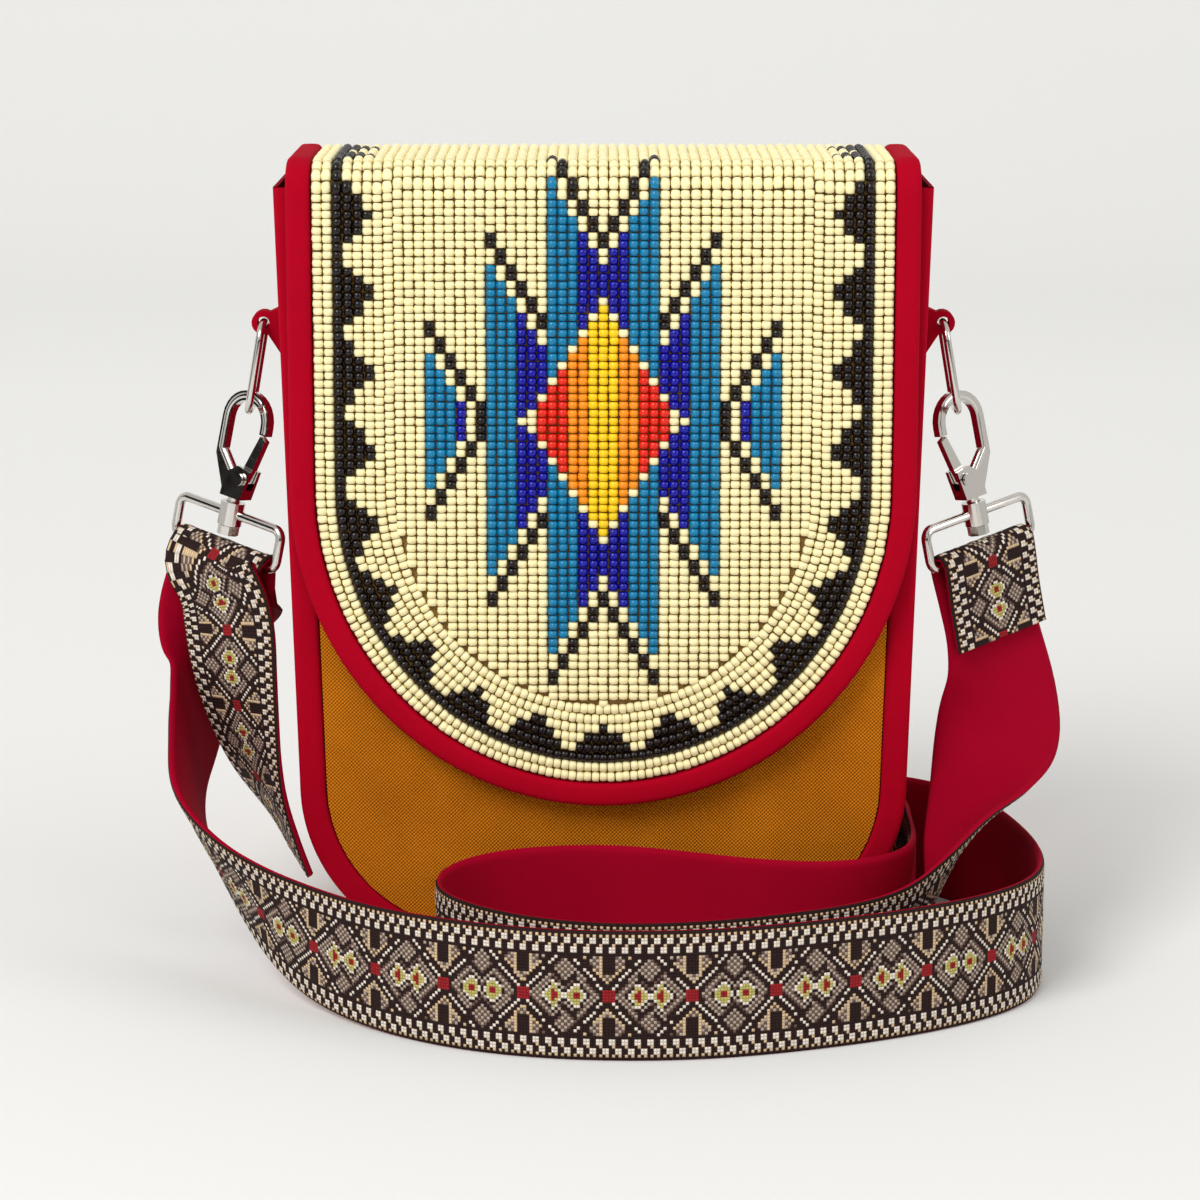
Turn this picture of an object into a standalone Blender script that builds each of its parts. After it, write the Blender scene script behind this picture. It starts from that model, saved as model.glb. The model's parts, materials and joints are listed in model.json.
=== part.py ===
"""Beaded crossbody bag: a canvas pouch with a beaded flap, swivel clasps and a woven strap.

Sizes are in millimetres until the last step, which turns them to metres.
X is the bag's width, -Y its front, Z up, with the origin under the middle of its base.
"""

import math

import bmesh
import bpy
from mathutils import Matrix, Vector

# Bag body
TOP_HALF = 98.0
LOW_HALF = 93.0
CORNER_R = 54.0
BODY_TOP = 237.0
FRONT_Y = -28.5
BACK_Y = 25.5
BINDING_WIDE = 8.0
BINDING_DEEP = 3.0
CANVAS_THICK = 2.0
GUSSET_THICK = 1.2
LINING_THICK = 0.8
MOUTH_DROP = 3.0
GAP = 0.3

# Flap
FLAP_HALF = 94.0
FLAP_TIP = 49.5
FLAP_ROUND = 97.5
FLAP_CROWN = 241.5
FLAP_FOLD_R = 6.0
FLAP_REACH_BACK = 44.0
FLAP_LEAN = 2.5
FLAP_CLEAR = 1.0
FLAP_BINDING = 7.5
FLAP_DEEP = 4.4
FLAP_LINING = 0.8
FLAP_CORE = 1.2

# Beadwork
BEAD_PITCH = 3.0
BEAD_ROW = 2.4
FIELD_THICK = 1.0
MOTIF_THICK = 0.5
MOTIF_Z = FLAP_CROWN - 73.5
BORDER_ROWS = 2
POINTS_A_SIDE = 11
POINT_LONG = (8.4, 5.4, 1.8)
DIAMOND_ROWS = 14
OUTLINE_ROWS = 2
BEADS_INSET = FLAP_BINDING + GAP
DARK_INSET = BEADS_INSET + BORDER_ROWS * BEAD_PITCH
SIDES = {(0, 0): "", (1, 0): "_left", (0, 1): "_low", (1, 1): "_low_left"}

# Clasps and loops
CLASP_OUT = 18.98
CLASP_Y = -8.0
CLASP_Z = 135.4
CLASP_YAW = 38.0
CLASP_TILT = 11.4
WIRE_R = 1.5
LOOP_HALF = 21.5
LOOP_DROP = 12.5
BARREL_R = 3.8
BARREL_HALF = 3.6
PIN_R = 1.9
NUT_R = 3.3
NUT_TALL = 2.8
HOOK_THICK = 2.6
HOOK_BASE = 5.4
HOOK_HALF = 8.0
HOOK_TALL = 37.0
HOOK_LOW = 5.2
GATE_THICK = 2.2
RIVET_R = 0.9
RIVET_HEAD = 1.9
RIVET_U = 3.2
RIVET_V = 11.6
GATE_TIP_U = HOOK_HALF
GATE_TIP_V = 26.5 - GAP
RING_OUT = 6.16
RING_WIRE_R = 1.2
RING_Z = 194.5
RING_TALL = 27.2
RING_HALF = 8.5
RING_TILT = 9.9
TAB_WIDE = 6.0
TAB_R = 3.6

# Strap
STRAP_WIDE = 38.0
STRAP_THICK = 2.2
STRAP_STEP = 7.0
TAB_LONG = 27.0
LAYER_APART = 1.7

# Snap
SNAP_R = 7.0
SNAP_THICK = 1.0
SNAP_Z = 82.0

METRE = 0.001

FABRIC = {"roughness": 0.85, "metallic": 0.0}
BEAD = {"roughness": 0.25, "metallic": 0.0}
NICKEL = {"roughness": 0.15, "metallic": 1.0}


def clear_scene():
    for item in list(bpy.data.objects):
        bpy.data.objects.remove(item, do_unlink=True)


def collection(name):
    made = bpy.data.collections.new(name)
    bpy.context.scene.collection.children.link(made)
    return made


def material(name, colour, finish):
    made = bpy.data.materials.new(name)
    made.use_nodes = True
    shader = made.node_tree.nodes["Principled BSDF"]
    shader.inputs["Base Color"].default_value = (*colour, 1.0)
    shader.inputs["Roughness"].default_value = finish["roughness"]
    shader.inputs["Metallic"].default_value = finish["metallic"]
    return made


def add(name, bm, paint):
    """Turns a mesh in millimetres into a named part in metres."""
    bmesh.ops.scale(bm, vec=(METRE, METRE, METRE), verts=bm.verts)
    mesh = bpy.data.meshes.new(name)
    bm.to_mesh(mesh)
    bm.free()
    item = bpy.data.objects.new(name, mesh)
    mesh.materials.append(paint)
    mesh.shade_smooth()
    mesh.set_sharp_from_angle(angle=math.radians(35.0))
    PARTS.objects.link(item)
    return item


def curve_mesh(curve, weld=1e-4):
    """The closed mesh of a curve, with its caps welded on."""
    item = bpy.data.objects.new("guide", curve)
    bpy.context.scene.collection.objects.link(item)
    bpy.context.view_layer.update()
    shown = item.evaluated_get(bpy.context.evaluated_depsgraph_get())
    mesh = bpy.data.meshes.new_from_object(shown)
    bpy.data.objects.remove(item, do_unlink=True)
    bm = bmesh.new()
    bm.from_mesh(mesh)
    bmesh.ops.remove_doubles(bm, verts=bm.verts, dist=weld)
    return bm


def slab(outlines, thickness):
    """A flat plate in the XY plane, from z = 0 up. Each outline after the first is a hole."""
    curve = bpy.data.curves.new("outline", "CURVE")
    curve.dimensions = "2D"
    curve.fill_mode = "BOTH"
    curve.extrude = thickness / 2.0
    for outline in outlines:
        spline = curve.splines.new("POLY")
        spline.points.add(len(outline) - 1)
        for point, (x, y) in zip(spline.points, outline):
            point.co = (x, y, 0.0, 1.0)
        spline.use_cyclic_u = True
    bm = curve_mesh(curve)
    bmesh.ops.translate(bm, vec=(0.0, 0.0, thickness / 2.0), verts=bm.verts)
    return bm


def rod(points, radius, closed=False, sides=2):
    """A round wire through the points."""
    curve = bpy.data.curves.new("wire", "CURVE")
    curve.dimensions = "3D"
    curve.bevel_depth = radius
    curve.bevel_resolution = sides
    curve.use_fill_caps = True
    spline = curve.splines.new("POLY")
    spline.points.add(len(points) - 1)
    for point, place in zip(spline.points, points):
        point.co = (*place, 1.0)
    spline.use_cyclic_u = closed
    return curve_mesh(curve)


def cylinder(radius, low, high, sides=20):
    bm = bmesh.new()
    middle = Matrix.Translation((0.0, 0.0, (low + high) / 2.0))
    bmesh.ops.create_cone(bm, cap_ends=True, segments=sides, radius1=radius, radius2=radius,
                          depth=high - low, matrix=middle)
    return bm


def combine(first, second, operation):
    """Joins or cuts one mesh by another with an exact Boolean."""
    items = []
    for bm in (first, second):
        mesh = bpy.data.meshes.new("blank")
        bm.to_mesh(mesh)
        bm.free()
        item = bpy.data.objects.new("blank", mesh)
        CUTTERS.objects.link(item)
        item.hide_render = True
        item.display_type = "WIRE"
        items.append(item)
    body, tool = items
    change = body.modifiers.new("join", "BOOLEAN")
    change.operation = operation
    change.solver = "EXACT"
    change.object = tool
    bpy.context.view_layer.update()
    shown = body.evaluated_get(bpy.context.evaluated_depsgraph_get())
    mesh = bpy.data.meshes.new_from_object(shown)
    for item in items:
        bpy.data.objects.remove(item, do_unlink=True)
    bm = bmesh.new()
    bm.from_mesh(mesh)
    bmesh.ops.remove_doubles(bm, verts=bm.verts, dist=1e-4)
    return bm


def turned(bm, matrix):
    bmesh.ops.transform(bm, matrix=matrix, verts=bm.verts)
    return bm


def mirrored(bm, side):
    """The right-hand copy of a left-hand piece: side is -1 on the left and 1 on the right."""
    if side > 0:
        bmesh.ops.scale(bm, vec=(-1.0, 1.0, 1.0), verts=bm.verts)
        bmesh.ops.reverse_faces(bm, faces=bm.faces)
    return bm


def upright(bm, y_front, thickness):
    """Stands a slab up: its outline goes in the XZ plane, with its front at y_front."""
    turned(bm, Matrix.Rotation(math.radians(90.0), 4, "X"))
    bmesh.ops.translate(bm, vec=(0.0, y_front + thickness, 0.0), verts=bm.verts)
    return bm


def arc(cx, cy, rx, ry, start, end, steps):
    """Points on an elliptic arc, with angles in degrees from +X."""
    turns = [math.radians(start + (end - start) * i / steps) for i in range(steps + 1)]
    return [(cx + rx * math.cos(t), cy + ry * math.sin(t)) for t in turns]


def body_outline(inset, top, steps=12):
    """The bag's side-to-side outline: a tapering U with a flat base."""
    low_z = CORNER_R
    radius = CORNER_R - inset
    right = [(TOP_HALF - inset, top)]
    corner = arc(LOW_HALF - CORNER_R, low_z, radius, radius, 0.0, -90.0, steps)
    left_side = [(-x, z) for x, z in reversed(right + corner)]
    return right + corner + left_side


def u_band(outer, inner):
    """A U-shaped band between two outlines that are open at the top."""
    return outer + list(reversed(inner))


def make_body():
    outer = body_outline(0.0, BODY_TOP)
    inner = body_outline(BINDING_WIDE, BODY_TOP)
    panel = body_outline(BINDING_WIDE + GAP, BODY_TOP - 0.5)
    gusset_inner = body_outline(GUSSET_THICK, BODY_TOP)
    for name, low in (("front_binding", FRONT_Y), ("back_binding", BACK_Y - BINDING_DEEP)):
        band = slab([u_band(outer, inner)], BINDING_DEEP)
        add(name, upright(band, low, BINDING_DEEP), RED)
    front_panel_y = FRONT_Y + BINDING_DEEP - CANVAS_THICK
    back_panel_y = BACK_Y - BINDING_DEEP
    for name, low in (("front_panel", front_panel_y), ("back_panel", back_panel_y)):
        add(name, upright(slab([panel], CANVAS_THICK), low, CANVAS_THICK), CANVAS)
    low = FRONT_Y + BINDING_DEEP + GAP
    depth = BACK_Y - BINDING_DEEP - GAP - low
    band = slab([u_band(outer, gusset_inner)], depth)
    add("gusset", upright(band, low, depth), RED_CANVAS)
    make_pouch(low, depth)


def make_pouch(low, depth):
    """The lining: a thin open-topped pouch just inside the canvas."""
    edge = GUSSET_THICK + GAP
    shell = upright(slab([body_outline(edge, BODY_TOP - MOUTH_DROP)], depth), low, depth)
    room = depth - 2.0 * LINING_THICK
    hollow = slab([body_outline(edge + LINING_THICK, BODY_TOP + 5.0)], room)
    upright(hollow, low + LINING_THICK, room)
    add("pouch_lining", combine(shell, hollow, "DIFFERENCE"), LINING)


def flap_frame():
    """Where the flap's inner surface turns: the straight front, the fold, the top and the back."""
    front = FRONT_Y - FLAP_CLEAR
    back = BACK_Y + GAP + 0.2
    rise = FLAP_CROWN - FLAP_FOLD_R
    arc_long = FLAP_FOLD_R * math.pi / 2.0
    top_long = back - front - 2.0 * FLAP_FOLD_R
    return front, back, rise, arc_long, top_long


def flap_end():
    rise, arc_long, top_long = flap_frame()[2:]
    return rise + 2.0 * arc_long + top_long + FLAP_REACH_BACK


def on_flap(x, s, h):
    """A point h out from the flap's inner surface, s along it from the floor's level up."""
    front, back, rise, arc_long, top_long = flap_frame()
    if s <= rise:
        lean = FLAP_LEAN * (rise - s) / (rise - FLAP_TIP)
        return (x, front - lean - h, s)
    s -= rise
    reach = FLAP_FOLD_R + h
    if s <= arc_long:
        a = s / FLAP_FOLD_R
        return (x, front + FLAP_FOLD_R - reach * math.cos(a), rise + reach * math.sin(a))
    s -= arc_long
    if s <= top_long:
        return (x, front + FLAP_FOLD_R + s, FLAP_CROWN + h)
    s -= top_long
    if s <= arc_long:
        a = s / FLAP_FOLD_R
        return (x, back - FLAP_FOLD_R + reach * math.sin(a), rise + reach * math.cos(a))
    return (x, back + h, rise - (s - arc_long))


def bend(bm, height):
    """Bends a flat plate over the bag: its X stays, its Y runs along the flap, its Z is depth."""
    rise, arc_long, top_long = flap_frame()[2:]
    folds = [rise + arc_long * i / 3.0 for i in range(4)]
    folds += [rise + arc_long + top_long + arc_long * i / 3.0 for i in range(4)]
    for s in folds:
        geometry = list(bm.verts) + list(bm.edges) + list(bm.faces)
        bmesh.ops.bisect_plane(bm, geom=geometry, dist=1e-5, plane_co=(0.0, s, 0.0),
                               plane_no=(0.0, 1.0, 0.0))
    bmesh.ops.triangulate(bm, faces=bm.faces)
    for vert in bm.verts:
        x, s, h = vert.co
        vert.co = on_flap(x, s, h + height)
    return bm


def flap_edge(inset, steps=28):
    """The flap's rounded lower edge from right to left, inset from its outline."""
    half = FLAP_HALF - inset
    deep = FLAP_ROUND - inset
    return arc(0.0, FLAP_TIP + FLAP_ROUND, half, deep, 0.0, -180.0, steps)


def flap_outline(inset, end):
    half = FLAP_HALF - inset
    return [(half, end)] + flap_edge(inset) + [(-half, end)]


def flap_band(wide_from, wide_to, end):
    return u_band(flap_outline(wide_from, end), flap_outline(wide_to, end))


def make_flap():
    end = flap_end()
    edge = FLAP_BINDING + GAP
    lining = slab([flap_outline(edge, end)], FLAP_LINING)
    add("flap_lining", bend(lining, 0.0), LINING)
    core = slab([flap_outline(edge, end)], FLAP_CORE)
    add("flap_panel", bend(core, FLAP_LINING + GAP), CANVAS)
    band = slab([flap_band(0.0, FLAP_BINDING, end)], FLAP_DEEP)
    add("flap_binding", bend(band, 0.0), RED)


def along_edge(t, inset):
    """A point on the flap's edge, inset from it; t runs from 0 at the right top to 1 at the left."""
    half = FLAP_HALF - inset
    centre = FLAP_TIP + FLAP_ROUND
    top = beads_end()
    straight = top - centre
    whole = edge_long()
    s = t * whole
    if s < straight:
        return (half, top - s)
    if s > whole - straight:
        return (-half, top - (whole - s))
    turn = math.pi * (s - straight) / (whole - 2.0 * straight)
    return (half * math.cos(turn), centre - (FLAP_ROUND - inset) * math.sin(turn))


def beads_end():
    """The beadwork ends on the top of the bag, behind the front fold."""
    rise, arc_long, top_long = flap_frame()[2:]
    return rise + arc_long + top_long


def edge_long():
    """The length of the dark border's line, from one top end round to the other."""
    straight = beads_end() - FLAP_TIP - FLAP_ROUND
    return 2.0 * straight + math.pi * ((FLAP_HALF + FLAP_ROUND) / 2.0 - DARK_INSET)


def dark_edge(extra):
    """The stepped inner edge of the dark border: stepped points along a line one bead wide."""
    count = 2 * POINTS_A_SIDE + 1
    base = DARK_INSET + BEAD_PITCH + extra
    points = [along_edge(0.0, base)]
    for i in range(count):
        middle = (i + 0.5) / count
        rising = [(-1, k, half) for k, half in enumerate(POINT_LONG)]
        falling = [(1, k, half) for k, half in reversed(list(enumerate(POINT_LONG)))]
        for way, k, half in rising + falling:
            t = middle + way * (half + extra) / edge_long()
            low = base + k * BEAD_PITCH
            high = low + BEAD_PITCH
            first, second = (low, high) if way < 0 else (high, low)
            points.append(along_edge(t, first))
            points.append(along_edge(t, second))
    points.append(along_edge(1.0, base))
    return points


def stepped(columns, grow=0.0):
    """A stepped outline of bead columns: each is (index, lowest row, highest row)."""
    upper = []
    lower = []
    for n, (i, low, high) in enumerate(columns):
        left = (i - 0.5) * BEAD_PITCH
        right = (i + 0.5) * BEAD_PITCH
        top = MOTIF_Z + high * BEAD_ROW + grow
        base = MOTIF_Z + low * BEAD_ROW - grow
        upper += [(left - step_shift(columns, n, 2, 1, grow), top),
                  (right - step_shift(columns, n + 1, 2, 1, grow), top)]
        lower += [(left - step_shift(columns, n, 1, -1, grow), base),
                  (right - step_shift(columns, n + 1, 1, -1, grow), base)]
    return tidy_outline(upper + list(reversed(lower)))


def step_shift(columns, n, field, way, grow):
    """How far the edge before column n moves left when the outline grows."""
    if n == 0:
        return grow
    if n == len(columns):
        return -grow
    rise = (columns[n][field] - columns[n - 1][field]) * way
    if rise == 0:
        return 0.0
    return grow if rise > 0 else -grow


def tidy_outline(points):
    """Drops points that repeat or that lie on a straight run."""
    kept = []
    for point in points:
        if not kept or math.dist(point, kept[-1]) > 1e-6:
            kept.append(point)
    out = []
    for n, (x, y) in enumerate(kept):
        (ax, ay), (bx, by) = kept[n - 1], kept[(n + 1) % len(kept)]
        if abs((x - ax) * (by - y) - (y - ay) * (bx - x)) > 1e-6:
            out.append((x, y))
    return out


def flipped(columns, across, over):
    """The same columns mirrored left to right, top to bottom, or both."""
    out = columns
    if across:
        out = [(-i, low, high) for i, low, high in reversed(out)]
    if over:
        out = [(i, -high, -low) for i, low, high in out]
    return out


def diamond_rows(i):
    """Half the diamond's height in bead rows, at a column counted from its middle."""
    return DIAMOND_ROWS - 2 * abs(i)


def slanted(first, last, low, top, slope):
    """Columns whose top steps by slope rows a column; low gives where each one starts."""
    return [(i, low(i), top + slope * (i - first)) for i in range(first, last + 1)]


def motif():
    """The motif's pieces as stepped columns, by name, colour and the mirrors that repeat them."""
    once = ((0, 0),)
    twice = ((0, 0), (1, 0))
    all_round = ((0, 0), (1, 0), (0, 1), (1, 1))

    def beside(i):
        return max(diamond_rows(i) + OUTLINE_ROWS, 1)

    def diamond(first, last):
        return [(i, -diamond_rows(i), diamond_rows(i)) for i in range(first, last + 1)]

    cobalt = [(i, beside(i), 19 + 2 * abs(i)) for i in range(-2, 3)]
    middle = [(i, -top, top) for i, _, top in slanted(9, 11, beside, 15, 2)]
    outer = [(i, -top, top) for i, _, top in slanted(15, 17, beside, 4, 2)]
    return [
        ("yellow_diamond", YELLOW, diamond(-1, 1), once),
        ("orange_diamond", ORANGE, diamond(2, 3), twice),
        ("flame_diamond", FLAME, diamond(4, 6), twice),
        ("cobalt_centre", COBALT, cobalt, ((0, 0), (0, 1))),
        ("teal_inner", TEAL, slanted(3, 5, beside, 25, 2), all_round),
        ("cobalt_side", COBALT, slanted(6, 8, beside, 9, 2), all_round),
        ("teal_middle", TEAL, middle, twice),
        ("teal_outer", TEAL, outer, twice),
        ("cobalt_dash", COBALT, [(14, -2, 2)], twice),
    ]


def make_beadwork():
    """The beaded skin: a cream field, its border, and the motif's plates on the field."""
    height = FLAP_LINING + GAP + FLAP_CORE + GAP
    top = beads_end()
    border_thick = FIELD_THICK + GAP + MOTIF_THICK
    rim = slab([u_band(flap_outline(BEADS_INSET, top), flap_outline(DARK_INSET, top))], border_thick)
    add("cream_bead_rim", bend(rim, height), CREAM)
    border = slab([u_band(flap_outline(DARK_INSET + GAP, top), dark_edge(0.0))], border_thick)
    add("dark_bead_border", bend(border, height), DARK)
    field = slab([dark_edge(GAP)], FIELD_THICK)
    add("cream_bead_field", bend(field, height), CREAM)
    for name, paint, columns, copies in motif():
        for across, over in copies:
            placed = flipped(columns, across, over)
            plate = slab([stepped(placed, -GAP / 2.0)], MOTIF_THICK)
            bend(plate, height + FIELD_THICK + GAP)
            add(name + SIDES[(across, over)], plate, paint)


def clasp_frame():
    """From the clasp's own axes, on the left, to the bag's: u along the loop, z up its pin."""
    place = Matrix.Translation((-side_half(CLASP_Z) - CLASP_OUT, CLASP_Y, CLASP_Z))
    tilt = Matrix.Rotation(math.radians(CLASP_TILT), 4, "Y")
    yaw = Matrix.Rotation(math.radians(-CLASP_YAW), 4, "Z")
    return place @ tilt @ yaw


def flat_in_clasp(outlines, thickness):
    """A plate in the clasp's u-z plane, centred on it."""
    return upright(slab(outlines, thickness), -thickness / 2.0, thickness)


def hook_outline():
    """The hook's bow: up its back, over the top and down to the gate's tip."""
    wide = WIRE_R * 2.0
    arch = HOOK_TALL + WIRE_R - HOOK_HALF - WIRE_R
    outside = [(-3.8, HOOK_LOW), (-HOOK_HALF - WIRE_R, 17.0)]
    outside += arc(0.0, arch, HOOK_HALF + WIRE_R, HOOK_HALF + WIRE_R, 180.0, 0.0, 14)
    outside += [(HOOK_HALF + WIRE_R, 26.5), (HOOK_HALF + WIRE_R - wide, 26.5)]
    inside = arc(0.0, arch, HOOK_HALF - WIRE_R, HOOK_HALF - WIRE_R, 0.0, 180.0, 14)
    inside += [(-HOOK_HALF + WIRE_R, 18.0), (-1.4, 11.0), (2.0, 9.5), (3.8, HOOK_LOW)]
    return outside + inside


def make_hook(side, frame):
    bow = flat_in_clasp([hook_outline()], HOOK_THICK)
    cheek = [(-3.8, HOOK_LOW), (4.6, HOOK_LOW), (6.6, 14.5), (1.6, 15.5), (-3.0, 12.5)]
    base = flat_in_clasp([cheek], HOOK_BASE)
    hook = combine(bow, base, "UNION")
    slot = flat_in_clasp([[(-1.2, 9.0), (12.0, 7.8), (12.0, 17.0), (-1.2, 17.0)]],
                         GATE_THICK + 2.0 * GAP)
    hook = combine(hook, slot, "DIFFERENCE")
    bore = turned(cylinder(RIVET_R + GAP, -6.0, 6.0), rivet_place())
    hook = combine(hook, bore, "DIFFERENCE")
    add(side_name("clasp_hook", side), mirrored(turned(hook, frame), side), METAL)


def rivet_place():
    return Matrix.Translation((RIVET_U, 0.0, RIVET_V)) @ Matrix.Rotation(math.pi / 2.0, 4, "X")


def make_gate(side, frame):
    """A flat finger from the rivet to the bow's end, with a hole round the rivet."""
    lean = math.atan2(GATE_TIP_U - RIVET_U, GATE_TIP_V - RIVET_V)
    across = (math.cos(lean), -math.sin(lean))
    low_r = 1.9
    foot = arc(RIVET_U, RIVET_V, low_r, low_r, 180.0 - math.degrees(lean),
               360.0 - math.degrees(lean), 10)
    tip_r = 1.2
    tip = [(GATE_TIP_U + across[0] * tip_r, GATE_TIP_V - 1.4),
           (GATE_TIP_U - across[0] * tip_r, GATE_TIP_V - 0.2)]
    hole = arc(RIVET_U, RIVET_V, RIVET_R + 0.15, RIVET_R + 0.15, 0.0, 330.0, 11)
    gate = flat_in_clasp([foot + tip, hole], GATE_THICK)
    add(side_name("clasp_gate", side), mirrored(turned(gate, frame), side), METAL)


def make_rivet(side, frame):
    """The gate's pin, with a head on each cheek."""
    reach = HOOK_BASE / 2.0 + GAP
    pin = cylinder(RIVET_R, -reach - 0.3, reach + 0.3)
    for low in (-reach - 0.8, reach):
        head = cylinder(RIVET_HEAD, low, low + 0.8)
        pin = combine(pin, head, "UNION")
    pin = turned(pin, frame @ rivet_place())
    add(side_name("gate_rivet", side), mirrored(pin, side), METAL)


def make_pin(side, frame):
    """The swivel pin: a shaft through the loop's barrel with a nut below it."""
    shaft = cylinder(PIN_R, -BARREL_HALF - GAP - 0.5, HOOK_LOW - 0.1)
    nut = cylinder(NUT_R, -BARREL_HALF - GAP - NUT_TALL, -BARREL_HALF - GAP, 8)
    pin = combine(shaft, nut, "UNION")
    add(side_name("swivel_pin", side), mirrored(turned(pin, frame), side), METAL)


def make_loop(side, frame):
    """The rectangular strap loop with the swivel's barrel in its top bar."""
    bend_r = 3.0
    half = LOOP_HALF
    corners = [(half, 0.0, 90.0), (half, -LOOP_DROP, 0.0), (-half, -LOOP_DROP, -90.0),
               (-half, 0.0, -180.0)]
    path = []
    for u, z, start in corners:
        cu = u - math.copysign(bend_r, u)
        cz = z - bend_r if z == 0.0 else z + bend_r
        path += [(pu, 0.0, pz) for pu, pz in arc(cu, cz, bend_r, bend_r, start, start - 90.0, 4)]
    loop = rod(path, WIRE_R, closed=True, sides=2)
    loop = combine(loop, cylinder(BARREL_R, -BARREL_HALF, BARREL_HALF), "UNION")
    loop = combine(loop, cylinder(PIN_R + GAP, -BARREL_HALF - 2.0, BARREL_HALF + 2.0), "DIFFERENCE")
    add(side_name("strap_loop", side), mirrored(turned(loop, frame), side), METAL)


def ring_path():
    """The side ring hangs from its top bar and leans out from the bag's side."""
    r = 5.0
    path = []
    for cy, cz, start in ((RING_HALF - r, -r, 90.0), (RING_HALF - r, -RING_TALL + r, 0.0),
                          (-RING_HALF + r, -RING_TALL + r, -90.0), (-RING_HALF + r, -r, -180.0)):
        path += [(0.0, py, pz) for py, pz in arc(cy, cz, r, r, start, start - 90.0, 6)]
    return path


def make_ring(side):
    wire = rod(ring_path(), RING_WIRE_R, closed=True, sides=2)
    lean = Matrix.Rotation(math.radians(RING_TILT), 4, "Y")
    place = Matrix.Translation((-ring_x(), CLASP_Y, RING_Z)) @ lean
    add(side_name("side_ring", side), mirrored(turned(wire, place), side), METAL)


def side_half(z):
    """The bag's half width at a height, above its rounded corners."""
    return LOW_HALF + (TOP_HALF - LOW_HALF) * (z - CORNER_R) / (BODY_TOP - CORNER_R)


def ring_x():
    """The ring's pivot, out from the bag's side at its height."""
    return side_half(RING_Z) + RING_OUT


def make_tab(side):
    """The red loop on the bag's side that holds the ring."""
    low, high = RING_Z - 11.0, RING_Z + 5.0
    loop = arc(-ring_x(), RING_Z, TAB_R, TAB_R, 60.0, 290.0, 12)
    outline = loop + [(-side_half(low) - GAP, low), (-side_half(high) - GAP, high)]
    hole = arc(-ring_x(), RING_Z, WIRE_R + 0.4, WIRE_R + 0.4, 0.0, 330.0, 11)
    tab = upright(slab([outline, hole], TAB_WIDE), CLASP_Y - TAB_WIDE / 2.0, TAB_WIDE)
    add(side_name("ring_tab", side), mirrored(tab, side), RED)


def side_name(name, side):
    return name + ("_right" if side > 0 else "_left")


def clasp_stations(frame, side, local):
    """Strap stations given in the clasp's own axes as (depth, height)."""
    outward = (frame.to_3x3() @ Vector((-1.0, 0.0, 0.0))).normalized()
    out = []
    for v, z in local:
        place = frame @ Vector((0.0, v, z))
        up = outward.copy()
        if side > 0:
            place.x, up.x = -place.x, -up.x
        out.append((place, up))
    return out


def wrap_stations(frame, side):
    """The strap's turn over the loop's low bar: its front fall, the turn and its back fall."""
    reach = WIRE_R + GAP + 0.1 + STRAP_THICK / 2.0
    turn = [(-reach * math.cos(math.pi * i / 8.0), -LOOP_DROP + reach * math.sin(math.pi * i / 8.0))
            for i in range(9)]
    fall = [(LAYER_APART, -LOOP_DROP - TAB_LONG), (LAYER_APART + 0.3, -LOOP_DROP - TAB_LONG / 2.0),
            (reach - 0.3, -LOOP_DROP - TAB_LONG / 5.0)]
    if side < 0:
        fall = [(reach + 1.3, -LOOP_DROP - TAB_LONG / 5.0)]
    front = [(-v, z) for v, z in fall]
    back = list(reversed(fall))
    return clasp_stations(frame, side, front + turn + back)


RIGHT_DROP = [
    ((123.5, -10.5, 81.0), (0.93, 0.36, -0.10)),
    ((121.0, -19.0, 66.0), (0.98, -0.20, -0.02)),
    ((115.0, -33.0, 53.0), (0.66, -0.73, 0.15)),
    ((106.5, -53.0, 42.5), (0.25, -0.86, 0.42)),
    ((97.5, -71.0, 31.5), (0.10, -0.62, 0.78)),
    ((87.0, -86.0, 23.5), (0.05, -0.32, 0.94)),
    ((74.0, -98.0, 20.0), (0.01, -0.10, 0.99)),
]
UPRIGHT = (0.0, 0.0, 1.0)
FLOOR_RUN = [(52.0, -109.5), (28.0, -117.0), (4.0, -119.0), (-18.0, -113.5), (-36.0, -101.5),
             (-46.5, -87.0), (-48.5, -72.0), (-44.0, -58.0), (-33.0, -46.5), (-16.0, -40.0),
             (5.0, -39.5), (26.0, -46.5), (46.0, -54.0), (66.0, -57.0), (82.0, -52.0),
             (92.5, -40.0), (95.5, -24.0), (96.0, 0.0), (96.0, 19.0), (90.5, 30.5),
             (76.0, 32.0), (62.0, 31.5), (52.0, 36.5), (52.0, 45.0), (62.0, 50.0),
             (80.0, 49.0), (98.0, 43.0), (113.0, 29.0), (123.0, 9.0), (129.0, -15.0),
             (132.0, -40.0), (130.0, -62.0), (122.0, -79.0), (106.0, -94.0), (84.0, -107.0),
             (58.0, -117.5), (32.0, -124.5), (6.0, -126.5), (-20.0, -123.5), (-44.0, -115.0)]
LEFT_RISE = [
    ((-66.0, -101.5, 19.6), (-0.01, -0.06, 1.0)),
    ((-85.0, -86.0, 21.8), (-0.02, -0.18, 0.98)),
    ((-101.0, -70.0, 27.0), (-0.05, -0.44, 0.90)),
    ((-115.0, -52.0, 35.5), (-0.05, -0.76, 0.65)),
    ((-125.5, -33.0, 46.5), (-0.04, -0.93, 0.36)),
    ((-129.0, -13.0, 58.5), (-0.10, -0.97, 0.22)),
    ((-128.0, 4.0, 69.0), (-0.30, -0.94, 0.10)),
    ((-125.5, 12.5, 82.0), (-0.52, -0.85, 0.02)),
    ((-123.0, 12.0, 93.0), (-0.80, -0.58, 0.03)),
    ((-119.5, 7.5, 104.0), (-0.97, -0.02, 0.08)),
]
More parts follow.
